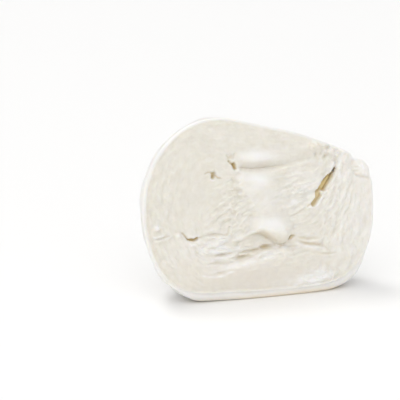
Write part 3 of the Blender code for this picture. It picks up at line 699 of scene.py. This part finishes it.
bpy.context.collection.objects.link(cheese)
print("triangles", sum(len(p.vertices) - 2 for p in mesh.polygons))


# ------------------------------------------------------------------- materials
CURD_DEEP, CURD_PALE = (0.752, 0.716, 0.634, 1), (0.867, 0.841, 0.776, 1)
PALE_AND_HIGHLIGHT_COLOUR = (0.905, 0.89, 0.867, 1)
SKIN_DEEP, SKIN_PALE = (0.825, 0.812, 0.78, 1), (0.875, 0.863, 0.835, 1)
# painted shade colours: grey-brown for creases, warm tan for deep inside the holes
SHADED, HOLLOW_SHADE = (0.71, 0.66, 0.575, 1), (0.75, 0.605, 0.315, 1)
FOOT_GLOW = (0.93, 0.82, 0.64, 1)
LOW_SHADE_COLOUR = (0.785, 0.728, 0.657, 1)


def curd_material():
    mat = bpy.data.materials.new("moist_curd")
    mat.use_nodes = True
    nt = mat.node_tree
    nodes, links = nt.nodes, nt.links
    shader = nodes["Principled BSDF"]
    shader.inputs["Metallic"].default_value = 0.0
    shader.inputs["IOR"].default_value = 1.42
    shader.inputs["Subsurface Weight"].default_value = 0.35
    shader.inputs["Subsurface Radius"].default_value = (1.0, 0.8, 0.5)
    shader.inputs["Subsurface Scale"].default_value = 0.003

    def node(kind, **props):
        n = nodes.new(kind)
        for k, v in props.items():
            setattr(n, k, v)
        return n

    def attribute(name):
        return node("ShaderNodeAttribute", attribute_name=name).outputs["Fac"]

    def mix(fac, a, b):
        m = node("ShaderNodeMix", data_type="RGBA")
        for socket, value in ((m.inputs[0], fac), (m.inputs[6], a), (m.inputs[7], b)):
            if hasattr(value, "is_output"):
                links.new(value, socket)
            else:
                socket.default_value = value
        return m.outputs[2]

    def maths(operation, *values, clamp=False):
        m = node("ShaderNodeMath", operation=operation, use_clamp=clamp)
        for i, value in enumerate(values):
            if hasattr(value, "is_output"):
                links.new(value, m.inputs[i])
            else:
                m.inputs[i].default_value = value
        return m.outputs[0]

    def speckle(scale, detail, at=None):
        n = node("ShaderNodeTexNoise")
        links.new(at or place, n.inputs["Vector"])
        n.inputs["Scale"].default_value = scale
        n.inputs["Detail"].default_value = detail
        return n.outputs["Fac"]

    place = node("ShaderNodeTexCoord").outputs["Object"]
    skin, painted_shade, pale_wet_and_highlight, relief_shade, foot = (attribute(name) for name in ("skin", "painted_shade", "pale_wet_and_highlight", "relief_shade", "foot"))
    # grain of the stretched curd: streaks in each direction, where that way was pulled
    grain = 0.0
    for i, run in enumerate(RUNS):
        turned = node("ShaderNodeMapping", vector_type="TEXTURE")
        turned.inputs["Rotation"].default_value = (0.0, -math.radians(run), 0.0)
        turned.inputs["Scale"].default_value = (5.0, 1.0, 1.0)
        links.new(place, turned.inputs["Vector"])
        streak = speckle(880.0, 1.5, turned.outputs[0])
        streak = maths("SUBTRACT", streak, 0.5)
        grain = maths("MULTIPLY_ADD", streak, attribute("run%d" % i), grain)
    crumb = maths("MULTIPLY", maths("SUBTRACT", speckle(900.0, 2.0), 0.5), attribute("grit"))
    # random tone mixed with painted light and shade on the fine relief: the grain and crumb that the bump raises are
    # painted lighter, the relief's hollows darker
    mottle = maths("MULTIPLY_ADD", relief_shade, 0.16, speckle(420.0, 3.0))
    mottle = maths("MULTIPLY_ADD", grain, 0.9, mottle)
    mottle = maths("MULTIPLY_ADD", crumb, 0.7, mottle, clamp=True)
    warm = mix(mottle, CURD_DEEP, CURD_PALE)
    # painted shade low on the face, a little rosier
    warm = mix(maths("MULTIPLY", attribute("low_shade"), 0.6), warm, LOW_SHADE_COLOUR)
    outer = mix(speckle(60.0, 2.0), SKIN_DEEP, SKIN_PALE)
    colour = mix(skin, warm, outer)
    # whiter where painted with highlight on the swells, torn edges and rim, and on the paler curd
    colour = mix(pale_wet_and_highlight, colour, PALE_AND_HIGHLIGHT_COLOUR)
    # painted shade: darker in creases and under the swells, a deep warm tan inside the holes
    colour = mix(painted_shade, colour, SHADED)
    colour = mix(maths("MULTIPLY", painted_shade, painted_shade), colour, HOLLOW_SHADE)
    # painted warm glow at the foot, by the floor
    colour = mix(foot, colour, FOOT_GLOW)
    links.new(colour, shader.inputs["Base Color"])

    # moist sheen: wettest on the smooth swells and the skin, drier where torn
    sheen = maths("MULTIPLY_ADD", speckle(90.0, 2.0), 0.14, 0.38)
    sheen = maths("MULTIPLY_ADD", pale_wet_and_highlight, -0.11, sheen)
    sheen = maths("MULTIPLY_ADD", skin, -0.11, sheen)
    sheen = maths("MAXIMUM", sheen, 0.29)
    links.new(sheen, shader.inputs["Roughness"])

    # heights in millimetres
    relief = node("ShaderNodeBump")
    relief.inputs["Strength"].default_value = 1.0
    relief.inputs["Distance"].default_value = 0.001
    height = maths("MULTIPLY_ADD", speckle(1100.0, 3.0), 0.05, maths("MULTIPLY", grain, 0.45))
    height = maths("MULTIPLY_ADD", crumb, 0.42, height)
    height = maths("MULTIPLY_ADD", maths("MULTIPLY", speckle(260.0, 3.0), skin), 0.24, height)
    links.new(height, relief.inputs["Height"])
    links.new(relief.outputs["Normal"], shader.inputs["Normal"])
    return mat


cheese.data.materials.append(curd_material())
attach(cheese, "root")
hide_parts("mozzarella_half")

# ----------------------------------------------------------------------- stage
floor_mesh = bpy.data.meshes.new("floor")
size = 8.0
floor_mesh.from_pydata([(-size, -size, 0), (size, -size, 0), (size, size, 0), (-size, size, 0)], [], [(0, 1, 2, 3)])
floor = bpy.data.objects.new("floor", floor_mesh)
bpy.context.collection.objects.link(floor)
white = bpy.data.materials.new("white_table")
white.use_nodes = True
sh = white.node_tree.nodes["Principled BSDF"]
sh.inputs["Base Color"].default_value = (0.94, 0.935, 0.927, 1)
sh.inputs["Roughness"].default_value = 0.6
floor_mesh.materials.append(white)

scene = bpy.context.scene
scene.view_settings.view_transform = "Standard"
world = bpy.data.worlds.new("white_room")
world.use_nodes = True
wn, wl = world.node_tree.nodes, world.node_tree.links


def world_node(kind, *values, **props):
    n = wn.new(kind)
    for k, v in props.items():
        setattr(n, k, v)
    for i, value in enumerate(values):
        if hasattr(value, "is_output"):
            wl.new(value, n.inputs[i])
        elif value is not None:
            n.inputs[i].default_value = value
    return n


# a white tent: even fill from all round, a broad bright patch overhead and a
# smaller one above and behind, which throws the shadow forwards
FILL = 0.471
PATCHES = ((1.485, 4.5, (-0.24, -0.60, 0.84)), (9.4, 60.0, (-0.22, 0.35, 0.91)))
towards = wn.new("ShaderNodeTexCoord").outputs["Generated"]
glow = FILL
for power, narrow, source in PATCHES:
    facing = world_node("ShaderNodeVectorMath", towards, tuple(Vector(source).normalized()),
                        operation="DOT_PRODUCT").outputs["Value"]
    facing = world_node("ShaderNodeMath", facing, 0.0, operation="MAXIMUM").outputs[0]
    facing = world_node("ShaderNodeMath", facing, narrow, operation="POWER").outputs[0]
    glow = world_node("ShaderNodeMath", facing, power, glow, operation="MULTIPLY_ADD").outputs[0]
seen = wn.new("ShaderNodeLightPath").outputs["Is Camera Ray"]
strength = world_node("ShaderNodeMix", seen, data_type="FLOAT")
wl.new(glow, strength.inputs[2])
strength.inputs[3].default_value = 1.0
wn["Background"].inputs["Color"].default_value = (1.0, 1.0, 1.0, 1)
wl.new(strength.outputs[0], wn["Background"].inputs["Strength"])
scene.world = world

camera_data = bpy.data.cameras.new("camera")
camera_data.lens = 100.0
camera_data.sensor_width = 36.0
camera_data.clip_start = 0.01
camera_data.clip_end = 50.0
camera = bpy.data.objects.new("camera", camera_data)
azimuth, elevation, distance = math.radians(-17.0), math.radians(14.0), 0.425
target = Vector((-23.435, -9.101, 38.823)) * MM
back = Vector((math.sin(azimuth) * math.cos(elevation), -math.cos(azimuth) * math.cos(elevation), math.sin(elevation)))
camera.location = target + distance * back
camera.rotation_euler = (-back).to_track_quat("-Z", "Y").to_euler()
bpy.context.collection.objects.link(camera)
scene.camera = camera
